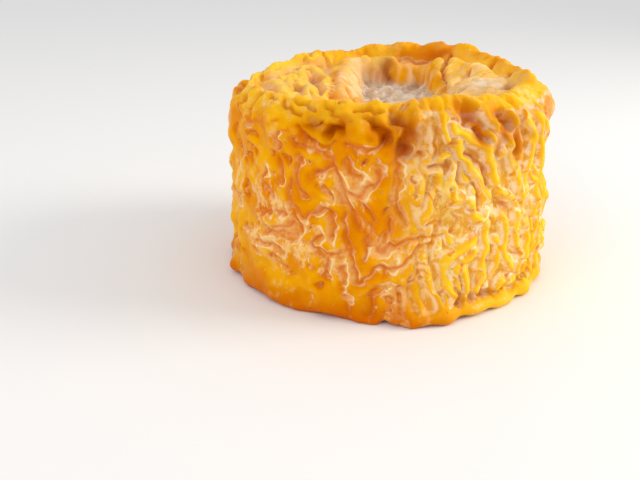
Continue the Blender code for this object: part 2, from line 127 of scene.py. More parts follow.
# Folds of the rim, which cut in without a pale edge
RIM_FOLDS = [
    [(-119, 46.5), (-116, 44), (-113, 42), (-108, 41.5)],
    [(-110.5, 52), (-107, 50.2), (-103.8, 49.6), (-101.5, 47.3)],
    [(-99.5, 50.8), (-95.5, 51), (-93.5, 49.8), (-91.5, 50.8)],
    [(-97, 48.8), (-93.5, 46.5), (-90.3, 44.3), (-89, 42)],
    [(-88.5, 51.5), (-88.3, 48.5), (-86.3, 46.5)],
    [(-79.5, 52.5), (-78.7, 48), (-77.5, 44.5), (-79.5, 41)],
    [(-72, 53), (-71, 50), (-69.5, 48.5)],
    [(-67.5, 53), (-66.3, 49.5), (-63, 47)],
    [(-57, 52), (-55.5, 49), (-53, 46.5)],
    [(-50.5, 51.5), (-49.5, 48), (-47.5, 45)],
    [(-44, 51.5), (-42.5, 47)],
    [(-128, 51.5), (-124, 50), (-119, 49.5)],
]
# Wide hollows of the side
GULLIES = [
    [(-86.3, 49.6), (-83.5, 48.2), (-82.3, 45.8), (-83.7, 42.5)],
    [(-93.5, 47.6), (-90.5, 46), (-88.7, 43.8)],
    [(-113.5, 47.8), (-113, 46.8)],
    [(-108, 45), (-103.5, 46.6)],
    [(-64.5, 50), (-61.5, 48), (-59.5, 44.5)],
    [(-52, 48.5), (-49.5, 44.5)],
    [(-43.5, 43), (-43, 40)],
]
# The gap over the flange at the foot
FOOT_GAP = [
    [(-64, 6.2), (-63, 4.8), (-50, 4.6), (-37, 5.8), (-28, 7.5)],
]
# Ridges that stand up between the hollows
RIDGES = [
    [(-69, 46.5), (-64, 44.3), (-58.5, 42), (-55, 38), (-53, 33)],
    [(-68, 43), (-66.5, 40.5), (-61.5, 36.8), (-58, 33.5), (-55.8, 29.5)],
    [(-56, 49), (-53.5, 46.2), (-49.5, 44.3), (-47, 40), (-44, 34), (-42, 30)],
    [(-62, 29.5), (-60, 26), (-57.5, 24.3), (-55.3, 26)],
    [(-60, 20.2), (-65, 18.2), (-69.8, 15.5), (-69, 11), (-66, 6)],
    [(-55, 22.5), (-55.5, 18), (-57, 13.5), (-56, 9.5), (-58, 7)],
    [(-49, 25), (-47, 20), (-47.3, 15), (-43.8, 10.3)],
    [(-48, 48.4), (-43, 42.9), (-42.5, 37.8)],
    [(-40, 47.9), (-37, 42.9), (-36.5, 36.8), (-38.5, 32.8), (-36, 27)],
    [(-34, 46.7), (-29, 40.6), (-28, 35), (-30, 28), (-28, 21)],
    [(-44.5, 33.6), (-39, 25.6), (-35, 20.3), (-36, 12)],
    [(-42, 23.6), (-42.5, 19.3), (-40, 13.3)],
    [(-25, 45), (-21, 39), (-20, 31), (-22, 24), (-20, 12)],
]
# Places where pale film dries on the skin: direction, height in mm, reach in degrees, reach in mm
FILMS = [
    (-150, 31, 5, 9),
    (-137, 27, 7, 8),
    (-127, 25, 5, 6),
    (-136, 15.5, 14, 3.5),
    (-116, 16, 8, 4),
    (-107, 12, 5, 3),
    (-97, 33, 5, 6),
    (-86, 17, 5, 3),
    (-73, 31, 6, 6),
    (-72, 12, 8, 4),
    (-133, 50, 8, 2.5),
]
# Creases and raised ropes of the top, in mm from the middle
TOP_CREASES = [
    [(-14.6, 16), (-14, -8), (-12.5, -22)],
    [(15.6, 17), (15.2, 4), (16.5, -9)],
    [(18.2, 3.7), (22, 13), (27, 16), (32, 22)],
    [(17, -9), (20.6, -4.6), (25.6, 0), (32, 9)],
    [(18.6, -14.6), (26, -12), (32, -2)],
    [(15.4, 17), (17, 26), (18, 32)],
    [(-9, 33.5), (-2, 31.5), (5, 32.5), (12, 30), (17, 29)],
]
TOP_ROPES = [
    [
        (-23, 10.8), (-23.6, 15.5), (-22.3, 19), (-20.3, 17.7), (-17.7, 8), (-15.3, 0.5), (-14.6, -8),
        (-15.2, -17.5),
    ],
    [(-23, 10.8), (-20.9, 0.1), (-19.2, -9.7), (-17.6, -15.5), (-15.2, -18.5)],
    [(-24.5, 12), (-22.3, 1), (-20.4, -7), (-19.6, -14), (-19.4, -21)],
    [(-27.7, 1.1), (-25.7, 4.3), (-23.8, 1.4), (-22.4, -5), (-22, -10)],
    [(-25.7, 4.3), (-25.3, -4.7), (-23.6, -12.8), (-21.9, -20.4)],
    [(-7, 29.5), (-2, 28), (3.5, 28.3), (7, 30)],
]
TOP_FOLDS = [
    [(-30.5, -1.5), (-28.6, -3.8), (-26.8, -7.5), (-25.2, -14.5), (-23.8, -22)],
    [(-34, -12.5), (-31.6, -13.8), (-28.9, -18.4), (-25.4, -24.5)],
    [(-31.5, 7), (-29.5, 12), (-26.5, 18)],
]
TOP_PITS = [
    [(-19.3, 6), (-17.9, -3), (-16.9, -11)],
    [(-30, -10.5), (-28.1, -15.2), (-26.4, -19.8)],
    [(-21.7, -12), (-21, -16)],
    [(-19, 24.5), (-14.8, 25)],
]

# How high the plates and ropes stand, and how deep the folds and hollows cut
PLATE_HEIGHT = 1.4 * MM
ROPE_HEIGHT = 2.9 * MM
RIM_FOLD_DEPTH = 1.3 * MM
GULLY_DEPTH = 3.3 * MM
FOOT_GAP_DEPTH = 1.3 * MM
# Sizes of the noises whose zero lines are the smaller valleys, ropes, folds and wrinkles
VALLEY_SIZE = 2.8 * MM
ROPE_SIZE = 3.5 * MM
RIM_FOLD_SIZE = 6.5 * MM
WRINKLE_SIZE = 1.3 * MM
TOP_ROPE_SIZE = 4.6 * MM
TOP_FOLD_SIZE = 3.3 * MM
# Height of the terrace in the sunken top, under its folds
TERRACE_HEIGHT = 47.4 * MM
# Direction in degrees of the middle of the side that has upright ropes
DEEP_MIDDLE = -30

# The charts: size of a cell, how far the side's chart starts under the foot, its rows and columns, and
# the cells along each side of the top's
CHART_CELL = 0.22 * MM
CHART_MARGIN = 8 * MM
SIDE_CHART = (358, 1180)
TOP_CELLS = 418
# The sheet: columns round the drum, steps between two rings of its profile, and rows of each part
COLUMNS = 896
STEPS = 12
FOOT_ROWS = 6
SIDE_ROWS = 220
TOP_ROWS = 70
# Which of the rings are the crest of the rim and the edge of the sunken top
CREST_RING = 12
HOLLOW_RING = 14


def ease(share):
    """From 0 to 1, level at both ends."""
    share = np.clip(share, 0, 1)
    return share * share * (3 - 2 * share)


def bed(distance, width):
    """1 on a line, 0 away from it."""
    return np.exp(-((distance / width) ** 2))


def near(angle, middle, width):
    """1 at one direction round the drum, in degrees, falling away to 0 at either side."""
    away = (angle - middle + 180) % 360 - 180
    return np.exp(-((away / width) ** 2))


def deep_side(angle):
    """1 where the skin stands in deep upright folds, 0 where it lies in broad plates."""
    return ease((np.cos(np.radians(angle - DEEP_MIDDLE)) - 0.5) / 0.3)


def core_rings(angle, sizes):
    """Rings (radius, height) that the drum's skin passes through, from the middle of its underside on."""
    flat = np.zeros_like(angle)
    oval = np.cos(np.radians(2 * (angle + 60)))
    lobes = np.cos(np.radians(3 * (angle + 20)))
    foot = sizes.radius + 1.1 * MM + 2.4 * MM * near(angle, -74, 14) + 0.5 * MM * near(angle, -25, 45)
    side = sizes.radius + 0.6 * MM * oval + 0.4 * MM * lobes
    waist = sizes.radius - 0.5 * MM + 0.5 * MM * oval + 0.5 * MM * lobes
    crest = sizes.rim_height + sum(rise * near(angle, middle, width) for middle, width, rise in RIM_WAVES)
    shoulder = 1.3 * near(angle, 180, 28) + 1.1 * near(angle, 0, 22)
    collar = side + 0.3 * MM - 0.5 * MM * near(angle, -112, 14) - 0.8 * MM * shoulder
    tuck = 1.3 * MM + 1.2 * MM * near(angle, -45, 22)
    lip = sizes.radius - 4.5 * MM + 0.4 * MM * lobes
    rings = [
        (flat, flat),
        (19 * MM, flat),
        (38.5 * MM, flat),
        (foot - 0.7 * MM, 0.5 * MM),
        (foot, 2.0 * MM),
        (foot - tuck, 4.0 * MM),
        (side - 0.3 * MM, 7.2 * MM),
        (side + 0.1 * MM, 12.5 * MM),
        (waist, 26 * MM),
        (side - 0.2 * MM, 38 * MM),
        (collar, 46 * MM),
        (side - 1.4 * MM - 1.8 * MM * shoulder, crest - 2.2 * MM - 0.4 * MM * shoulder),
        (lip - 0.8 * MM * shoulder, crest),
        (lip - 2.8 * MM, crest - 1.1 * MM),
        (lip - 5.2 * MM, 48.6 * MM),
        (22 * MM, 48 * MM),
        (10 * MM, 48 * MM),
        (flat, 48 * MM),
    ]
    return np.array([[radius + flat, height + flat] for radius, height in rings])


def through(rings, steps):
    """A smooth line through the rings, with this many steps from one to the next."""
    ends = np.concatenate([rings[:1], rings, rings[-1:]])
    line = []
    for i in range(len(rings) - 1):
        a, b, c, d = ends[i : i + 4]
        for t in np.arange(steps) / steps:
            bend = (-a + 3 * b - 3 * c + d) * t**3 + (2 * a - 5 * b + 4 * c - d) * t * t
            line.append((bend + (c - a) * t + 2 * b) / 2)
    return np.array(line + [rings[-1]])


def well_shape(x, y):
    """Share of the well, from 1 on its floor to 0 on the terrace round it."""
    x, y = x + 0.4 * MM * np.sin(y / (2.1 * MM)), y + 0.9 * MM * np.sin(x / (2.4 * MM))
    narrowing = 0.03 * np.maximum(-6 * MM - y, 0) ** 2 / MM
    left = ease((x - narrowing + 11.5 * MM) / (6 * MM))
    right = 18 * MM - narrowing - 0.2 * np.maximum(y, 0) + 0.5 * MM * np.sin(y / (0.9 * MM))
    right = ease((right - x) / (3.2 * MM))
    return left * right * ease((y + 23 * MM) / (4 * MM)) * ease((28.5 * MM - y) / (2.6 * MM))


def hollow_height(x, y, sizes):
    """Height of the sunken top under its folds: a terrace round the well, with blocks on three sides."""
    well = well_shape(x, y)
    terrace = TERRACE_HEIGHT + 1.6 * MM * ease((-x - 11 * MM) / (9 * MM))
    terrace += 2.2 * MM * ease((x - 15 * MM) / (12 * MM))
    terrace += 3.4 * MM * ease((y - 12 * MM) / (16 * MM)) * ease((x - 10 * MM) / (5 * MM))
    terrace += (
        3.0 * MM * ease((y - 25 * MM) / (5 * MM)) * ease((4 * MM - x) / (2.5 * MM))
        * ease((x + 16 * MM) / (4 * MM))
    )
    slab = 1.4 * MM * bed(x + 12 * MM + 0.7 * MM * np.sin(y / (4.5 * MM)), 2.6 * MM)
    slab *= ease((33 * MM - y) / (8 * MM)) * ease((y + 16 * MM) / (8 * MM))
    floor = sizes.rim_height - sizes.well_depth
    return (terrace + slab) * (1 - well) + floor * well


class Chart:
    """A flat map of part of the rind. Its cells are square, and it joins up from side to side."""

    def __init__(self, rows, columns, cell):
        self.shape = (rows, columns)
        self.cell = cell
        self.up = np.fft.fftfreq(rows, cell)[:, None]
        self.along = np.fft.rfftfreq(columns, cell)[None, :]

    def soft(self, field, size):
        """The field with everything finer than about this size smoothed away."""
        rate = np.hypot(self.along, self.up)
        return np.fft.irfft2(np.fft.rfft2(field) * np.exp(-2 * (rate * size) ** 2), self.shape)

    def noise(self, size, seed, stretch=1, lean=0):
        """Smooth uneven values with a spread of 1, stretched along a direction leaning from upright."""
        grains = np.random.default_rng(seed).standard_normal(self.shape)
        lean = np.radians(lean)
        across = self.along * np.cos(lean) - self.up * np.sin(lean)
        length = self.along * np.sin(lean) + self.up * np.cos(lean)
        keep = np.exp(-2 * ((across * size) ** 2 + (length * size * stretch) ** 2))
        field = np.fft.irfft2(np.fft.rfft2(grains) * keep, self.shape)
        return field / field.std()

    def crossings(self, size, stretch, seed, leans, patch=9 * MM):
        """Distance to the lines where a noise of this size crosses zero.

        Which of the leans it has varies from place to place, over patches of the size that is given.
        """
        shares = [np.exp(1.6 * self.noise(patch, seed + 5 + i)) for i in range(len(leans))]
        fields = [self.noise(size, seed + i, stretch, lean) for i, lean in enumerate(leans)]
        field = sum(share * part for share, part in zip(shares, fields)) / sum(shares)
        slope = np.gradient(field, self.cell)
        return np.abs(field) / (np.hypot(*slope) + 1e-9)

    def away(self, lines, most=6 * MM):
        """Distance to the nearest of the lines, whose points are (row, column)."""
        far = np.full(self.shape, most)
        reach = np.arange(-int(most / self.cell), int(most / self.cell) + 1)
        for line in lines:
            for row, column in through(np.array(line, float), 10):
                rows = round(row) + reach
                rows = rows[(rows >= 0) & (rows < self.shape[0])]
                columns = round(column) + reach
                gap = self.cell * np.hypot((rows - row)[:, None], (columns - column)[None, :])
                window = np.ix_(rows, columns % self.shape[1])
                far[window] = np.minimum(far[window], gap)
        return far

    def read(self, field, row, column):
        """The field's value between its cells."""
        row = np.clip(row, 0, self.shape[0] - 1.001)
        low, left = row.astype(int), np.floor(column).astype(int)
        up, right = row - low, column - left
        left, beyond = left % self.shape[1], (left + 1) % self.shape[1]
        below = field[low, left] * (1 - right) + field[low, beyond] * right
        above = field[low + 1, left] * (1 - right) + field[low + 1, beyond] * right
        return below * (1 - up) + above * up

    def wavering(self, reach, seed):
        """A function that pushes a field's lines about by this much, so that they run unevenly."""
        rows, columns = np.mgrid[0 : self.shape[0], 0 : self.shape[1]].astype(float)
        push_up = self.noise(2.2 * MM, seed) * reach / self.cell
        push_along = self.noise(2.2 * MM, seed + 1) * reach / self.cell
        return lambda field, share=1: self.read(field, rows + push_up * share, columns + push_along * share)


def side_relief(height_at):
    """Rise of the side's folds, and the finish values that follow them. height_at gives rows' heights."""
    rows, columns = SIDE_CHART
    chart = Chart(rows, columns, CHART_CELL)
    run = np.arange(rows) * CHART_CELL - CHART_MARGIN
    height = height_at(run)[:, None] + np.zeros(chart.shape)
    angle = (np.arange(columns) * 360 / columns - 180)[None, :] + np.zeros(chart.shape)

    def placed(lines):
        up = np.arange(rows)
        return [
            [(np.interp(z * MM, height[:, 0], up), (a + 180) / 360 * columns) for a, z in line]
            for line in lines
        ]

    wave = chart.wavering(0.45 * MM, 11)
    crease = wave(chart.away(placed(CREASES)), 0.8)
    gully = wave(chart.away(placed(GULLIES)), 0.8)
    foot_gap = wave(chart.away(placed(FOOT_GAP)), 0.8)
    ridge_line = wave(chart.away(placed(RIDGES)), 0.5)
    rim_fold = wave(chart.away(placed(RIM_FOLDS)), 0.8)
    patchy = chart.noise(4 * MM, 51)
    rim = ease((height - 43 * MM) / (3.5 * MM))
    lip = ease((height - 48 * MM) / (3 * MM))
    foot = ease((4.2 * MM - height) / (2.5 * MM))
    plain = 3 * MM * np.maximum(lip, foot)
    deep = deep_side(angle)
    front = near(angle, -85, 30)

    def clear_of(distance):
        return 2.5 * MM * ease((2.6 * MM - distance) / (1.5 * MM))

    low = wave(chart.crossings(VALLEY_SIZE, 1.35, 100, (-45, 0, 45)))
    low += (
        clear_of(np.minimum(np.minimum(crease, gully), foot_gap)) + 2.6 * MM * ease(patchy + 0.7) + plain
    )
    low += 2 * MM * ease((10 * MM - height) / (4 * MM)) * near(angle, -135, 30)
    high = wave(chart.crossings(ROPE_SIZE, 3.4, 200, (-14, 0, 14)), 0.35)
    high += clear_of(ridge_line) + 0.5 * MM * ease((patchy - 0.1) / 1.2)
    auto_fold = wave(chart.crossings(RIM_FOLD_SIZE, 1.2, 600, (-50, 0, 50)))
    auto_fold += clear_of(np.minimum(rim_fold, gully)) + 2 * MM * ease(patchy - 0.1)
    crinkle = bed(wave(chart.crossings(WRINKLE_SIZE, 1.5, 300, (-30, 0, 30)), 0.5), 0.3 * MM)

    # Valleys between the plates are cracks in some places and pockets in others
    widening = ease((chart.noise(2.6 * MM, 71) - 0.3) / 1.6) * (0.5 + 0.4 * front)
    edge = np.minimum(crease, low)
    brim = np.minimum(crease - 0.2 * MM - 1.3 * MM * widening, low - 0.1 * MM - 1.5 * MM * widening)
    brim += 3 * MM * rim
    wall = ease((brim + 0.6 * MM) / (1.6 * MM))
    # Which way the edge of a plate faces along the side, from 0 to 1, for the thread's painted light
    edge_facing = 0.5 + 0.5 * chart.soft(np.gradient(brim, chart.cell, axis=1), 0.4 * MM)
    pillow = 0.6 * MM * (1 - np.exp(-np.maximum(brim, 0) / (2 * MM)))
    floor = (0.3 * crinkle - 0.2 * bed(edge, 0.6 * MM)) * (1 - wall) * MM
    plates = PLATE_HEIGHT * (1 - 0.25 * front) * wall + pillow + floor
    # Upright ropes with soft hollows between
    ridge = bed(np.minimum(ridge_line, high), 1.6 * MM)
    smooth_from = 48.3 * MM - 3.5 * MM * near(angle, 45, 60)
    ridge = 1 - (1 - ridge) * (1 - np.maximum(ease((height - smooth_from) / (3 * MM)), foot))
    cut = 1 - 0.7 * bed(crease, 0.9 * MM)
    ropes = (ROPE_HEIGHT * ridge + 0.4 * MM * (1 - ridge)) * cut
    # The rim's own folds
    fold = np.minimum(rim_fold, auto_fold + 1 * MM * (1 - rim))
    fold_cut = bed(fold, 0.6 * MM) * np.maximum(rim, bed(rim_fold, 1.5 * MM))
    fold_cut *= (1 - 0.6 * deep) * (1 - 0.7 * near(angle, 180, 40)) * (1 - 0.9 * near(angle, 55, 65))

    calm = 1 - 0.45 * near(angle, 180, 50) - 0.45 * near(angle, 5, 30)
    rise = (plates * (1 - deep) + ropes * deep) * calm
    rise = rise * (1 - 0.5 * np.maximum(lip, foot)) + (0.7 - 0.3 * deep) * MM * lip + 0.2 * MM * foot
    rise += chart.noise(5 * MM, 61) * (0.5 - 0.2 * lip) * MM
    rise += (chart.noise(8 * MM, 63) * 0.25 + chart.noise(3.2 * MM, 65) * (0.05 + 0.05 * front)) * rim * MM
    rise -= (
        RIM_FOLD_DEPTH * fold_cut
        + GULLY_DEPTH * (1 - 0.35 * deep) * bed(gully, (1.35 + 0.7 * deep) * MM)
        + FOOT_GAP_DEPTH * bed(foot_gap, 1.2 * MM)
    )
    # The darker slope colour goes down into the creases and the rim's folds, partly painted shade
    ridge = ridge * deep * (1 - 0.8 * bed(crease, 0.6 * MM)) + (1 - deep) * ease(brim / (2.2 * MM))
    ridge *= 1 - 0.8 * bed(fold, 1.4 * MM) * rim * (1 - deep)
    upper_hollow = 0.6 * (1 - ridge) * deep * ease((height - 31 * MM) / (10 * MM))
    # Deeper orange with painted shade in the hollows, the rim's folds, the gap over the flange and the upper
    # hollows of the right side
    pit = np.maximum(bed(gully, (2.3 + 0.5 * deep) * MM), 0.5 * bed(foot_gap, 1.3 * MM))
    pit = np.maximum(np.maximum(pit, 0.55 * fold_cut), upper_hollow)
    film = sum(
        near(angle, middle, width) * np.exp(-(((height / MM - level) / reach) ** 2))
        for middle, level, width, reach in FILMS
    )
    rise = np.where(deep > 0.5, chart.soft(rise, 0.65 * MM), chart.soft(rise, 0.4 * MM))
    rise -= 0.22 * MM * chart.soft(crinkle, 0.25 * MM) * (0.4 + 0.6 * rim)
    rise += 0.11 * MM * chart.noise(1.5 * MM, 66) * rim
    ridge = chart.soft(ridge, 0.5 * MM)
    edge_away, brim_away = np.minimum(edge, 4 * MM) / MM, np.minimum(brim, 4 * MM) / MM
    return chart, [rise, ridge, edge_away, brim_away, pit, film, 0 * film, edge_facing]


def top_relief():
    """The same for the top, seen from above: ropes on the left, long folds on the right, a slab between."""
    cells = TOP_CELLS
    chart = Chart(cells, cells, CHART_CELL)
    wave = chart.wavering(0.35 * MM, 21)
    middle = cells / 2

    def placed(lines):
        return [
            [(y * MM / CHART_CELL + middle, x * MM / CHART_CELL + middle) for x, y in line] for line in lines
        ]

    crease = wave(chart.away(placed(TOP_CREASES)), 0.8)
    rope_line = wave(chart.away(placed(TOP_ROPES)))
    wide_line = chart.away(placed(TOP_FOLDS))
    hole = wave(chart.away(placed(TOP_PITS)), 0.8)
    across = (np.arange(cells) - middle) * CHART_CELL
    x, y = across[None, :] + np.zeros(chart.shape), across[:, None] + np.zeros(chart.shape)
    left = ease((-14.5 * MM - x) / (2 * MM))
    left = np.maximum(left, ease((-16 * MM - y) / (3 * MM)) * ease((14 * MM - x) / (4 * MM)))
    right = ease((x - 12 * MM) / (4 * MM))
    clear = 3 * MM * ease((5 * MM - np.minimum(np.minimum(crease, rope_line), wide_line)) / (2 * MM))
    rope = wave(chart.crossings(TOP_ROPE_SIZE, 1.3, 400, (-45, 0, 45)), 0.5)
    rope = rope + clear + 3 * MM * (1 - left)
    thickness = 1.15 * MM * (1 + 0.2 * chart.noise(2.5 * MM, 73))
    rope = np.sqrt(np.maximum(1 - (np.minimum(rope, rope_line) / thickness) ** 2, 0))
    rope = np.maximum(rope, np.sqrt(np.maximum(1 - (wide_line / (2.1 * MM)) ** 2, 0)))
    by_rim = 3 * MM * ease((np.hypot(x, y) - 28.5 * MM) / (3 * MM))
    fold = wave(chart.crossings(TOP_FOLD_SIZE, 2.6, 500, (-56, -40))) + clear + by_rim
    brim = np.minimum(fold - 0.3 * MM - 0.8 * MM * ease(chart.noise(3 * MM, 72)), crease - 0.4 * MM)
    flat = ease((brim + 0.4 * MM) / (1.3 * MM))
    plain = 1 - left - right
    rise = 1.7 * rope + (right * 1.3 * flat + plain * 1.0) * (1 - rope)
    rise += (
        (0.45 - 0.3 * plain) * chart.noise(5 * MM, 62)
        - 0.9 * bed(crease, 1.0 * MM)
        - 1.2 * bed(hole, 1.3 * MM)
    )
    ridge = rope + (1 - rope) * (right * flat + plain * (1 - bed(crease, 1.4 * MM)) + 0.15 * left)
    brim = right * brim + (1 - right) * np.minimum(crease, 4 * MM)
    # The slab's pale colour is partly painted light, on a face that turns to the key light
    slab = bed(x + 8.8 * MM + 0.9 * MM * np.sin(y / (4.5 * MM)), 3.3 * MM) * ease((y + 16 * MM) / (8 * MM))
    slab *= 1 - 0.8 * ease((y - 27.5 * MM) / (2 * MM))
    lump = bed(x - 6.5 * MM, 4 * MM) * bed(y - 27 * MM, 3 * MM)
    pale = np.maximum(np.maximum(slab, 0.6 * lump), (0.55 - 0.45 * rope) * left)
    pale = np.maximum(pale, right * (0.05 + 0.1 * flat))
    film = 0.1 + 0 * x
    rise, ridge = chart.soft(rise * MM, 0.5 * MM), chart.soft(ridge, 0.5 * MM)
    # Deeper orange with painted shade in the top's creases and pits, and between the left ropes
    pit = np.maximum(0.7 * bed(crease, 0.7 * MM), bed(hole, 1.3 * MM))
    pit = np.maximum(pit, 0.12 * left * (1 - rope))
    edge_away, brim_away = np.minimum(crease, 4 * MM) / MM, np.minimum(brim, 4 * MM) / MM
    edge_facing = 0.5 + 0 * x
    return chart, [rise, ridge, edge_away, brim_away, pit, film, pale, edge_facing]


def rind_points(sizes):
    """Points of the rind as rows of columns, and the finish values that go with them."""
    angle = np.arange(COLUMNS) * 360 / COLUMNS - 180
    line = through(core_rings(angle, sizes), STEPS)
    middle = line.mean(axis=2)
    run = np.concatenate([[0], np.cumsum(np.hypot(*np.diff(middle, axis=0).T))])
    ring_at = run[::STEPS]
    edge, foot, crest, inside = ring_at[1], ring_at[2], ring_at[CREST_RING], ring_at[HOLLOW_RING]
    rows = np.concatenate(
        [
            [0, edge / 2],
            np.linspace(edge, foot, FOOT_ROWS, endpoint=False),
            np.linspace(foot, inside, SIDE_ROWS, endpoint=False),
            np.linspace(inside, run[-1], TOP_ROWS),
        ]
    )
    place = np.interp(rows, run, np.arange(len(run)))
    first = np.minimum(place.astype(int), len(run) - 2)
    share = (place - first)[:, None, None]
    radius, height = np.moveaxis(line[first] * (1 - share) + line[first + 1] * share, 1, 0)
    turn = np.radians(angle)
    past_crest = rows[:, None] > crest
    x, y = radius * np.cos(turn), radius * np.sin(turn)
    inner = np.where(past_crest, ease((33.5 * MM - radius) / (4.5 * MM)), 0)
    height = height * (1 - inner) + hollow_height(x, y, sizes) * inner
    core = np.stack([x, y, height], -1)
    outward = np.cross(np.roll(core, -1, 1) - np.roll(core, 1, 1), np.gradient(core, axis=0))
    outward /= np.maximum(np.linalg.norm(outward, axis=-1, keepdims=True), 1e-12)

    from_foot = (rows - foot)[:, None] + 0 * radius
    on_top = np.where(past_crest, ease((36 * MM - radius) / (4 * MM)), 0)
    seen_height = middle[:, 1] + 0.39 * (sizes.radius - middle[:, 0])
    side, side_fields = side_relief(lambda s: np.interp(s + foot, run, seen_height))
    top, top_fields = top_relief()
    side_row = (from_foot + CHART_MARGIN) / CHART_CELL
    side_column = (angle + 180) / 360 * side.shape[1] + 0 * radius
    top_row, top_column = y / CHART_CELL + top.shape[0] / 2, x / CHART_CELL + top.shape[1] / 2
    rise, ridge, edge_away, brim_away, pit, film, pale, edge_facing = [
        side.read(s, side_row, side_column) * (1 - on_top) + top.read(t, top_row, top_column) * on_top
        for s, t in zip(side_fields, top_fields)
    ]
    well = np.where(past_crest, well_shape(x, y), 0)
    bend = 0.5 * MM * np.sin(height / (0.9 * MM) + x / (2 * MM))
    climbing = 0.9 * bed(x + bend + 4.2 * MM, 2.8 * MM) * bed(y - 26.3 * MM, 2.3 * MM) * on_top
    # The ledge behind the well takes the ropes' yellow, partly painted light, instead of the pale coat
    ledge = bed(x + 2.5 * MM, 7 * MM) * ease((y + bend - 27.8 * MM) / (1.2 * MM)) * on_top
    back_wall = past_crest * near(angle, 80, 20) * bed(radius - 33 * MM, 3 * MM)
    fan = ease((x - 14 * MM) / (4 * MM)) * ease((32 * MM - radius) / (3 * MM)) * on_top
    # Painted shadow in the narrow gap behind the well
    gap = bed(x + 0.4 * (y - 27 * MM) + bend - 0.2 * MM, 1.8 * MM) * bed(y - 26.8 * MM, 2.4 * MM) * on_top
    mould = ease((well - 0.65) / 0.3)
    powdery = 0.75 * np.exp(-(((x - 25 * MM) / (8 * MM)) ** 2) - ((y + 5 * MM) / (8 * MM)) ** 2) * on_top
    fade = ease((rows[:, None] - edge) / (18 * MM)) * ease((from_foot + 1 * MM) / (6 * MM))
    rise = (rise - 0.9 * MM) * fade * (1 - 0.7 * mould)
    clumps = top.read(top.noise(1.9 * MM, 81), top_row, top_column)
    wall = ease((well - 0.04) / 0.2) * (1 - mould)
    points = core + outward * (rise + 0.5 * MM * (mould + 0.8 * wall) * clumps)[..., None]
    points[..., 2] = np.maximum(points[..., 2], 0)
    middle_of_box = (points.max(axis=(0, 1)) + points.min(axis=(0, 1))) / 2
    points[..., :2] -= middle_of_box[:2]
    # Darker orange towards the floor, with less film and fewer threads there
    darker = 1 - ease((from_foot - 3 * MM) / (9 * MM))
    darker_front = darker * near(angle, -80, 20)
    # Less of the right side's yellow towards direction 20, a painted shade where the key light strikes
    # hardest
    deep = deep_side(angle) * (1 - on_top) * (1 - 0.5 * near(angle, 20, 30)) * (1 - 0.8 * darker_front)
    # A little of the same on the back inner wall of the hollow, partly painted shade
    pit = np.maximum(pit, 0.25 * back_wall)
    pale = np.clip(pale * (1 + 0.25 * clumps) + 0.35 * wall * clumps, 0, 1)
    crest_band = ease((height - 46 * MM) / (3 * MM)) * (1 - on_top)
    # Painted light on the crest of the rim, towards the back left and the front
    lit_rim = (near(angle, 165, 60) + 0.45 * near(angle, -95, 35)) * crest_band
    # Painted light on the ropes of the top, on its left and its right
    lit_top = on_top * ridge * (0.8 * ease((-13 * MM - x) / (2 * MM)) + 0.5 * ease((x - 12 * MM) / (3 * MM)))
    return points, {
        "ridge": 1 - (1 - ridge) * fade,
        "crease": edge_away + 4 * (1 - fade),
        "brim": brim_away + 4 * (1 - fade),
        "pit": pit * fade,
        "film": film * fade * (1 - 0.25 * deep) * (1 - 0.8 * darker_front),
        "mould": np.maximum(np.maximum(mould, powdery), climbing),
        "gap": gap,
        "pale": pale * fade * (1 - gap) * (1 - 0.9 * ledge),
        "edge_facing": edge_facing,
        # Yellow of the right side's ropes, partly painted light and lessened at the crest, where the key
        # light is strongest; with painted light on the rim's crest, the top's ropes and the ledge behind the
        # well
        "yellow_and_painted_light": np.maximum(deep * ridge * (1 - 0.6 * crest_band), 0.9 * lit_rim) + lit_top + 0.9 * ledge,
        "fan": fan,
        "deep": deep,
        "foot": darker * (1 - 0.8 * deep),
    }


def rolled_sheet(points, values):
    """A flat grid whose corners are moved to the points, rolled up and closed at both ends."""
    rows, columns, _ = points.shape
    mesh = bpy.data.meshes.new("rind")
    sheet = bmesh.new()
    bmesh.ops.create_grid(sheet, x_segments=columns, y_segments=rows - 1, size=0.5)
    sheet.to_mesh(mesh)
    flat = np.empty(3 * len(mesh.vertices))
    mesh.vertices.foreach_get("co", flat)
    column = np.rint((flat[0::3] + 0.5) * columns).astype(int) % columns
    row = np.rint((flat[1::3] + 0.5) * (rows - 1)).astype(int)
    points = points.copy()
    points[[0, -1]] = points[[0, -1]].mean(axis=1, keepdims=True)
    mesh.vertices.foreach_set("co", points[row, column].ravel())
    for name, value in values.items():
        value = value + 0 * points[..., 0]
        mesh.attributes.new(name, "FLOAT", "POINT").data.foreach_set("value", value[row, column])
    sheet.clear()
    sheet.from_mesh(mesh)
    bmesh.ops.remove_doubles(sheet, verts=sheet.verts, dist=1e-7)
    bmesh.ops.recalc_face_normals(sheet, faces=sheet.faces)
    sheet.to_mesh(mesh)
    sheet.free()
    mesh.shade_smooth()
    return mesh


def thinned(rind, triangles):
    """Thins the rind's mesh and keeps the shading that it had before."""
    mesh = rind.data
    normals = np.empty(3 * len(mesh.vertices), np.float32)
    mesh.vertex_normals.foreach_get("vector", normals)
    mesh.attributes.new("shading", "FLOAT_VECTOR", "POINT").data.foreach_set("vector", normals)
    thinner = rind.modifiers.new("thinner", "DECIMATE")
    thinner.ratio = triangles / (2 * len(mesh.polygons))
    bpy.context.view_layer.objects.active = rind
    bpy.ops.object.modifier_apply(modifier=thinner.name)
    mesh = rind.data
    normals = np.empty(3 * len(mesh.vertices), np.float32)
    mesh.attributes["shading"].data.foreach_get("vector", normals)
    mesh.normals_split_custom_set_from_vertices(normals.reshape(-1, 3))


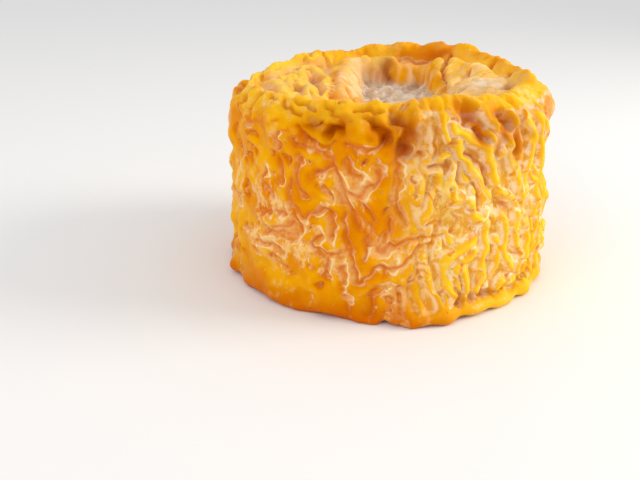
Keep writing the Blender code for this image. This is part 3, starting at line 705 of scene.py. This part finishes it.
def paint(code):
    """Linear colour of an sRGB hex value."""
    parts = [int(code[i : i + 2], 16) / 255 for i in (1, 3, 5)]
    return [c / 12.92 if c <= 0.04045 else ((c + 0.055) / 1.055) ** 2.4 for c in parts]


def length_property(label, description, value):
    """A length that the user may change."""
    return bpy.props.FloatProperty(
        name=label, description=description, default=value, min=0, subtype="DISTANCE", unit="LENGTH"
    )


def colour_property(label, description, code):
    """A colour that the user may change, from its sRGB hex value."""
    return bpy.props.FloatVectorProperty(
        name=label, description=description, default=paint(code), min=0, max=1, subtype="COLOR"
    )


class CheeseSizes(bpy.types.PropertyGroup):
    """Sizes of the drum"""

    radius: length_property("Radius", "Of the drum's side, under its folds", CHEESE_WIDTH / 2 - FOLD_REACH)
    rim_height: length_property("Rim height", "Of the rim, under its folds", CHEESE_HIGH[2] - RIM_REACH)
    well_depth: length_property("Well depth", "From the rim to the floor of the sunken top", 9 * MM)
    triangles: bpy.props.IntProperty(
        name="Triangles", description="The most that the rind's mesh may have", default=198000, min=20000
    )


class CheeseColours(bpy.types.PropertyGroup):
    """Colours of the rind"""

    heights: colour_property("Heights", "Moist skin on top of the folds", "#f3ac00")
    slopes: colour_property("Slopes", "Skin down the sides of the folds", "#e08400")
    warm: colour_property("Warm patches", "Where the wash dried thicker", "#e07c00")
    # Yellow of the right side's ropes, partly painted light, and painted light on the rim's crest, the top's
    # ropes and the ledge
    yellow_and_painted_light: colour_property("Ropes", "Skin on the upright ropes of the right side", "#f9c92a")
    # Darker orange skin near the floor
    foot: colour_property("Foot", "Skin near the floor, which stays wet", "#cc6400")
    floor: colour_property("Folds", "Skin in the folds between the plates", "#f0a534")
    cream: colour_property("Hollows", "Skin between the upright ropes", "#f0b03c")
    butter: colour_property("Dry hollows", "Yeast that dried between the upright ropes", "#fbdc84")
    film: colour_property("Film", "Yeast that dried on the skin", "#f6cc8c")
    # Thread of yeast along the edge of a fold; its strength on one side of each crease is painted light
    brim: colour_property("Brims", "Thread of yeast along the edge of a fold", "#fce2b2")
    # Painted shade in towards the narrow creases, and at their bottom
    shade: colour_property("Beside cracks", "Skin that turns in towards a crack", "#de7400")
    crack: colour_property("Cracks", "Bottom of the narrow creases", "#d85c04")
    # Deeper orange with painted shade at the bottom of the hollows and folds
    pit: colour_property("Pits", "Bottom of the wide hollows", "#b84c00")
    # Painted shadow in the narrow gap behind the well
    gap: colour_property("Gap", "Wet skin in the narrow gap behind the well", "#9c4a0c")
    # Paler skin on the top; on the slab it is partly painted light
    top: colour_property("Sunken top", "Drier skin on the top", "#efcf98")
    # Mould in the gaps between its tufts, darker: partly its own colour, partly painted shade
    mould: colour_property("Mould", "Fluff in the well, in its gaps", "#c2a485")
    fluff: colour_property("Fluff", "Fluff in the well, on its tufts", "#dfccb7")


class CheeseStage(bpy.types.PropertyGroup):
    """What stands round the cheese"""

    floor: colour_property("Floor", "Matt card under the cheese", "#efedea")
    sky: colour_property("Surroundings", "Even light from all round", "#f3f5f9")
    sky_strength: bpy.props.FloatProperty(
        name="Surroundings' strength", description="Of the even light", default=0.88, min=0
    )
    key_power: bpy.props.FloatProperty(
        name="Key light", description="Power of the lamp on the right", default=0.78, min=0, unit="POWER"
    )


# Sizes of the patterns in the rind, each with finer grain in it: broad changes of tone, pores, upright
# streaks of yeast, and threads of film that lie along the folds of the top's right side
TONE_SIZE = 9 * MM
PORE_SIZE = 2.1 * MM
PORE_DEPTH = 0.3 * MM
STREAK_SIZE = 1.3 * MM
STREAK_STRETCH = 2
FAN_SIZE = 1.5 * MM
FAN_STRETCH = 5
FAN_DIRECTION = np.radians(48)
# Hairs of mould are too fine to show, so their tufts are drawn, as coarse as they need to be
# The gaps between the tufts get a darker colour, partly the mould's own and partly painted shade
FLUFF_SIZE = 3.5 * MM

NOISE, RAMP, MATH = "ShaderNodeTexNoise", "ShaderNodeMapRange", "ShaderNodeMath"
# Finish values that the rind's mesh carries. Crease and brim are distances in mm from the bottom and from
# the edge of a fold, another is the way that the edge faces, for the thread's painted light, and the others
# are shares of a form or a coat.
FINISHES = (
    "ridge", "crease", "brim", "pit", "film", "mould", "pale", "gap", "deep", "foot", "edge_facing", "yellow_and_painted_light", "fan",
)
# Nodes that work out how strong each coat is: name, kind, settings, and what is linked to which socket
STRENGTHS = [
    ("tone", NOISE, {"Scale": 1 / TONE_SIZE, "Detail": 2}, {"Vector": "place"}),
    ("pores", NOISE, {"Scale": 1 / PORE_SIZE, "Detail": 6}, {"Vector": "place"}),
    ("streaks", NOISE, {"Scale": 1 / STREAK_SIZE, "Detail": 3}, {"Vector": "upright place"}),
    ("tufts", NOISE, {"Scale": 1 / FLUFF_SIZE, "Detail": 4}, {"Vector": "place"}),
    ("smooth side", MATH, {"operation": "SUBTRACT", 0: 1.0}, {1: "deep"}),
    ("warm", RAMP, {"From Min": 0.58, "From Max": 0.35, "To Max": 0.7}, {"Value": "tone"}),
    # The edge of a fold is ragged by up to half a millimetre
    ("ragged", MATH, {"operation": "MULTIPLY_ADD", 1: 0.9, 2: -0.45}, {0: "pores"}),
    ("from brim", MATH, {"operation": "ADD"}, {0: "brim", 1: "ragged"}),
    ("in fold", RAMP, {"From Min": 0.15, "From Max": -0.7, "To Max": 0.8}, {"Value": "from brim"}),
    ("floor", MATH, {"operation": "MULTIPLY"}, {0: "in fold", 1: "smooth side"}),
    ("between ropes", RAMP, {"From Min": 0.8, "From Max": 0.15}, {"Value": "ridge"}),
    ("cream", MATH, {"operation": "MULTIPLY"}, {0: "between ropes", 1: "deep"}),
    # Film is thick where its streaks run together
    ("dry streaks", RAMP, {"From Min": 0.45, "From Max": 0.6, "To Max": 0.8}, {"Value": "streaks"}),
    ("streaked floor", MATH, {"operation": "MULTIPLY"}, {0: "floor", 1: "dry streaks"}),
    # In some places film lies on the shoulders of the folds too
    ("band", RAMP, {"From Min": 1.3, "From Max": 0.7, "To Max": 0.62}, {"Value": "from brim"}),
    ("tone and film", MATH, {"operation": "MULTIPLY_ADD", 1: 0.1}, {0: "film", 2: "tone"}),
    ("banded", RAMP, {"From Min": 0.49, "From Max": 0.6}, {"Value": "tone and film"}),
    ("smooth band", MATH, {"operation": "MULTIPLY"}, {0: "band", 1: "smooth side"}),
    ("thin places", RAMP, {"From Min": 0.4, "From Max": 0.6, "To Min": 0.3}, {"Value": "pores"}),
    ("patchy band", MATH, {"operation": "MULTIPLY"}, {0: "smooth band", 1: "thin places"}),
    ("band film", MATH, {"operation": "MULTIPLY"}, {0: "patchy band", 1: "banded"}),
    ("dry hollows", MATH, {"operation": "MULTIPLY"}, {0: "cream", 1: "dry streaks"}),
    ("filmed", MATH, {"operation": "MULTIPLY_ADD", 1: 4.0}, {0: "streaks", 2: "film"}),
    ("spread", RAMP, {"From Min": 2.65, "From Max": 3.4, "To Max": 0.8}, {"Value": "filmed"}),
    ("both tones", MATH, {"operation": "ADD"}, {0: "tone", 1: "pores"}),
    ("haze", RAMP, {"From Min": 1.08, "From Max": 1.22, "To Max": 0.3}, {"Value": "both tones"}),
    ("most film", MATH, {"operation": "MAXIMUM"}, {0: "streaked floor", 1: "spread"}),
    ("more film", MATH, {"operation": "MAXIMUM"}, {0: "most film", 1: "band film"}),
    ("any film", MATH, {"operation": "MAXIMUM"}, {0: "more film", 1: "haze"}),
    ("above foot", MATH, {"operation": "MULTIPLY_ADD", 1: -0.5, 2: 1.0}, {0: "foot"}),
    ("film coat", MATH, {"operation": "MULTIPLY"}, {0: "any film", 1: "above foot"}),
    # Between the ropes it is yellower
    ("deep film", MATH, {"operation": "MULTIPLY"}, {0: "film coat", 1: "deep"}),
    ("butter coat", MATH, {"operation": "MAXIMUM"}, {0: "deep film", 1: "dry hollows"}),
    # The thread on a brim comes and goes
    ("from thread", MATH, {"operation": "MULTIPLY_ADD", 1: -1.0}, {0: "banded", 2: "from brim"}),
    ("brim start", RAMP, {"From Min": -0.2, "From Max": 0.1}, {"Value": "from thread"}),
    ("brim end", RAMP, {"From Min": 0.6, "From Max": 0.25}, {"Value": "from thread"}),
    (
        "brim breaks",
        RAMP,
        {"From Min": 0.36, "From Max": 0.6, "To Min": 0.2, "To Max": 0.8},
        {"Value": "tone"},
    ),
    ("thread", MATH, {"operation": "MULTIPLY"}, {0: "brim start", 1: "brim end"}),
    ("away from foot", MATH, {"operation": "MULTIPLY_ADD", 1: -0.6, 2: 1.0}, {0: "foot"}),
    # Painted light: the thread is stronger on the edges that face one way, as the key light from the right
    # shows them
    ("painted light side", RAMP, {"From Min": 0.2, "From Max": 0.8, "To Min": 0.15}, {"Value": "edge_facing"}),
    ("sided breaks", MATH, {"operation": "MULTIPLY"}, {0: "painted light side", 1: "brim breaks"}),
    ("thread above foot", MATH, {"operation": "MULTIPLY"}, {0: "thread", 1: "away from foot"}),
    ("broken thread", MATH, {"operation": "MULTIPLY"}, {0: "thread above foot", 1: "sided breaks"}),
    # Broken threads of it run down the shoulders of the ropes
    ("shoulder start", RAMP, {"From Min": 0.2, "From Max": 0.4}, {"Value": "ridge"}),
    ("shoulder end", RAMP, {"From Min": 0.8, "From Max": 0.5}, {"Value": "ridge"}),
    ("pore breaks", RAMP, {"From Min": 0.4, "From Max": 0.54}, {"Value": "pores"}),
    ("shoulder", MATH, {"operation": "MULTIPLY"}, {0: "shoulder start", 1: "shoulder end"}),
    ("deep breaks", MATH, {"operation": "MULTIPLY"}, {0: "pore breaks", 1: "deep"}),
    ("rope thread", MATH, {"operation": "MULTIPLY"}, {0: "shoulder", 1: "deep breaks"}),
    ("brim coat", MATH, {"operation": "MAXIMUM"}, {0: "broken thread", 1: "rope thread"}),
    # Painted shade that darkens the skin in towards the narrow creases, most at their bottom
    ("shade", RAMP, {"From Min": 0.9, "From Max": 0.2, "To Max": 0.35}, {"Value": "crease"}),
    ("crack", RAMP, {"From Min": 0.5, "From Max": 0.1, "To Max": 0.4}, {"Value": "crease"}),
    ("pit coat", MATH, {"operation": "MULTIPLY", 1: 0.85}, {0: "pit"}),
    ("pale breaks", RAMP, {"From Min": 0.3, "From Max": 0.6, "To Min": 0.55}, {"Value": "pores"}),
    ("pale coat", MATH, {"operation": "MULTIPLY"}, {0: "pale", 1: "pale breaks"}),
    # Threads of film along the folds of the top's right side
    ("fan lines", NOISE, {"Scale": 1 / FAN_SIZE, "Detail": 3}, {"Vector": "fan place"}),
    ("fan threads", RAMP, {"From Min": 0.5, "From Max": 0.6, "To Max": 0.75}, {"Value": "fan lines"}),
    ("fan coat", MATH, {"operation": "MULTIPLY"}, {0: "fan", 1: "fan threads"}),
    ("dry", MATH, {"operation": "MAXIMUM"}, {0: "film coat", 1: "mould"}),
    ("dry or deep", MATH, {"operation": "MAXIMUM"}, {0: "dry", 1: "floor"}),
    ("fluff", RAMP, {"From Min": 0.35, "From Max": 0.65}, {"Value": "tufts"}),
    ("roughness", RAMP, {"To Min": 0.36, "To Max": 0.8}, {"Value": "dry or deep"}),
]
# Coats of colour from the skin outwards: how strong, and which of the colours
COATS = [
    ("warm", "warm"),
    # Partly painted light
    ("yellow_and_painted_light", "yellow_and_painted_light"),
    ("foot", "foot"),
    ("floor", "floor"),
    ("cream", "cream"),
    ("film coat", "film"),
    ("butter coat", "butter"),
    ("brim coat", "brim"),
    # Painted shade beside and at the bottom of the cracks
    ("shade", "shade"),
    ("crack", "crack"),
    # Partly painted shade
    ("pit coat", "pit"),
    ("pale coat", "top"),
    ("fan coat", "film"),
    # Painted shadow
    ("gap", "gap"),
]


def add_node(tree, kind, settings=None, links=None):
    """Adds one node. Its settings are its own properties or its sockets' values, by name or number."""
    node = tree.nodes.new(kind)
    for name, value in (settings or {}).items():
        if isinstance(name, int) or name in node.inputs:
            node.inputs[name].default_value = value
        else:
            setattr(node, name, value)
    for name, source in (links or {}).items():
        tree.links.new(source, node.inputs[name])
    return node


def washed_rind(colours):
    """Skin of a cheese that was washed in brine and annatto while it ripened.

    It is moist and amber on the heights of its folds and orange down their slopes. Pale yeast dries in
    streaks in the folds and in a thread along their brims, and grey mould stands in the well. Its cracks,
    pits and the gap behind the well are darkened with painted shade, and its rim and ropes brightened with
    painted light.
    """
    material = bpy.data.materials.new("washed_rind")
    material.use_nodes = True
    tree = material.node_tree
    shader = tree.nodes["Principled BSDF"]
    found = {
        name: add_node(tree, "ShaderNodeAttribute", {"attribute_name": name}).outputs["Fac"]
        for name in FINISHES
    }
    found["place"] = add_node(tree, "ShaderNodeTexCoord").outputs["Object"]
    shrink = {"Scale": (1, 1, 1 / STREAK_STRETCH)}
    along_fan = {"vector_type": "TEXTURE", "Rotation": (0, 0, FAN_DIRECTION), "Scale": (FAN_STRETCH, 1, 1)}
    for name, mapping in [("upright place", shrink), ("fan place", along_fan)]:
        place = add_node(tree, "ShaderNodeMapping", mapping, {"Vector": found["place"]})
        found[name] = place.outputs[0]
    for name, kind, settings, sources in STRENGTHS:
        if kind == NOISE:
            settings = settings | {"Roughness": 0.6}
        if kind == RAMP:
            settings = settings | {"interpolation_type": "SMOOTHSTEP"}
        node = add_node(tree, kind, settings, {socket: found[source] for socket, source in sources.items()})
        found[name] = node.outputs[0]
    blend = {"data_type": "RGBA"}
    slopes_and_heights = {6: [*colours.slopes, 1], 7: [*colours.heights, 1]}
    skin = add_node(tree, "ShaderNodeMix", blend | slopes_and_heights, {0: found["ridge"]}).outputs[2]
    for strength, colour in COATS:
        coat = blend | {7: [*getattr(colours, colour), 1]}
        skin = add_node(tree, "ShaderNodeMix", coat, {0: found[strength], 6: skin}).outputs[2]
    gaps_and_tufts = {6: [*colours.mould, 1], 7: [*colours.fluff, 1]}
    grown = add_node(tree, "ShaderNodeMix", blend | gaps_and_tufts, {0: found["fluff"]}).outputs[2]
    skin = add_node(tree, "ShaderNodeMix", blend, {0: found["mould"], 6: skin, 7: grown}).outputs[2]
    tree.links.new(skin, shader.inputs["Base Color"])
    tree.links.new(found["roughness"], shader.inputs["Roughness"])
    bump = {"Strength": 0.5, "Distance": PORE_DEPTH}
    pitted = add_node(tree, "ShaderNodeBump", bump, {"Height": found["pores"]})
    tree.links.new(pitted.outputs["Normal"], shader.inputs["Normal"])
    # Fat and water make a weak warm gloss, and light goes a little way in and comes out redder
    shader.inputs["Specular IOR Level"].default_value = 0.075
    shader.inputs["Specular Tint"].default_value = [*paint("#ffd070"), 1]
    shader.inputs["Subsurface Weight"].default_value = 0.22
    shader.inputs["Subsurface Radius"].default_value = (1.0, 0.45, 0.12)
    shader.inputs["Subsurface Scale"].default_value = 1.6 * MM
    return material


def white_card(colour):
    """Matt uncoated card, which throws the light back evenly and has no gloss."""
    material = bpy.data.materials.new("white_card")
    material.use_nodes = True
    shader = material.node_tree.nodes["Principled BSDF"]
    shader.inputs["Base Color"].default_value = [*colour, 1]
    shader.inputs["Roughness"].default_value = 0.8
    shader.inputs["Specular IOR Level"].default_value = 0
    return material


def light(name, place, size, spread, power, colour):
    """A round soft light that shines at the middle of the cheese, over an angle in degrees."""
    lamp = bpy.data.lights.new(name, "AREA")
    lamp.shape = "DISK"
    lamp.size = size
    lamp.spread = np.radians(spread)
    lamp.energy = power
    lamp.color = paint(colour)
    stand = bpy.data.objects.new(name, lamp)
    bpy.context.scene.collection.objects.link(stand)
    stand.location = place
    aim = Vector((0, 0, 30 * MM)) - Vector(place)
    stand.rotation_euler = aim.to_track_quat("-Z", "Y").to_euler()


# The stage, in metres, watts and degrees; the camera's lens is in millimetres
FLOOR_WIDTH = 4
KEY_PLACE, KEY_SIZE, KEY_SPREAD = (0.5, 0.02, 0.27), 0.3, 110
FILL_PLACE, FILL_SIZE, FILL_SPREAD, FILL_POWER = (-0.35, -0.5, 0.45), 0.5, 180, 1.0
CAMERA_PLACE = (0, -0.226, 0.094)
CAMERA_DIP, CAMERA_TURN, CAMERA_LENS = 21.6, 4.49, 49.05


class CHEESE_OT_rind(bpy.types.Operator):
    """Make the rind and let it stand for the cheese's solid"""

    bl_idname = "cheese.rind"
    bl_label = "Rind"

    def execute(self, context):
        sizes = context.scene.cheese_sizes
        mesh = rolled_sheet(*rind_points(sizes))
        mesh.materials.append(washed_rind(context.scene.cheese_colours))
        rind = bpy.data.objects.new("rind", mesh)
        context.scene.collection.objects.link(rind)
        thinned(rind, sizes.triangles)
        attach(rind, "root")
        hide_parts("cheese")
        return {"FINISHED"}


class CHEESE_OT_stage(bpy.types.Operator):
    """Set the floor, the lights and the camera"""

    bl_idname = "cheese.stage"
    bl_label = "Stage"

    def execute(self, context):
        stage = context.scene.cheese_stage
        bpy.ops.mesh.primitive_plane_add(size=FLOOR_WIDTH)
        floor = context.object
        floor.name = "floor"
        floor.data.materials.append(white_card(stage.floor))
        light("key", KEY_PLACE, KEY_SIZE, KEY_SPREAD, stage.key_power, "#fffaf0")
        light("fill", FILL_PLACE, FILL_SIZE, FILL_SPREAD, FILL_POWER, "#fffdfa")
        world = bpy.data.worlds.new("studio")
        context.scene.world = world
        world.use_nodes = True
        surroundings = world.node_tree.nodes["Background"]
        surroundings.inputs["Color"].default_value = [*stage.sky, 1]
        surroundings.inputs["Strength"].default_value = stage.sky_strength
        camera = bpy.data.objects.new("camera", bpy.data.cameras.new("camera"))
        context.scene.collection.objects.link(camera)
        camera.location = CAMERA_PLACE
        camera.rotation_euler = np.radians((90 - CAMERA_DIP, 0, CAMERA_TURN))
        camera.data.lens = CAMERA_LENS
        camera.data.sensor_width = 36
        context.scene.camera = camera
        context.scene.view_settings.view_transform = "Standard"
        return {"FINISHED"}


class CHEESE_PT_panel(bpy.types.Panel):
    """Sizes and colours, and a button for each piece"""

    bl_label = "Cheese"
    bl_idname = "CHEESE_PT_panel"
    bl_space_type = "VIEW_3D"
    bl_region_type = "UI"
    bl_category = "Cheese"

    def draw(self, context):
        scene = context.scene
        for group, button in [
            (scene.cheese_sizes, None),
            (scene.cheese_colours, CHEESE_OT_rind.bl_idname),
            (scene.cheese_stage, CHEESE_OT_stage.bl_idname),
        ]:
            box = self.layout.box()
            for name in group.__annotations__:
                box.prop(group, name)
            if button:
                box.operator(button)


CLASSES = (CheeseSizes, CheeseColours, CheeseStage, CHEESE_OT_rind, CHEESE_OT_stage, CHEESE_PT_panel)


def register():
    """Adds the sizes, colours, buttons and panel to Blender."""
    for made in CLASSES:
        bpy.utils.register_class(made)
    bpy.types.Scene.cheese_sizes = bpy.props.PointerProperty(type=CheeseSizes)
    bpy.types.Scene.cheese_colours = bpy.props.PointerProperty(type=CheeseColours)
    bpy.types.Scene.cheese_stage = bpy.props.PointerProperty(type=CheeseStage)


def unregister():
    """Takes them away again."""
    del bpy.types.Scene.cheese_sizes
    del bpy.types.Scene.cheese_colours
    del bpy.types.Scene.cheese_stage
    for made in reversed(CLASSES):
        bpy.utils.unregister_class(made)


def main():
    """Makes the rind and the stage."""
    register()
    bpy.ops.cheese.rind()
    bpy.ops.cheese.stage()


if __name__ == "__main__":
    main()
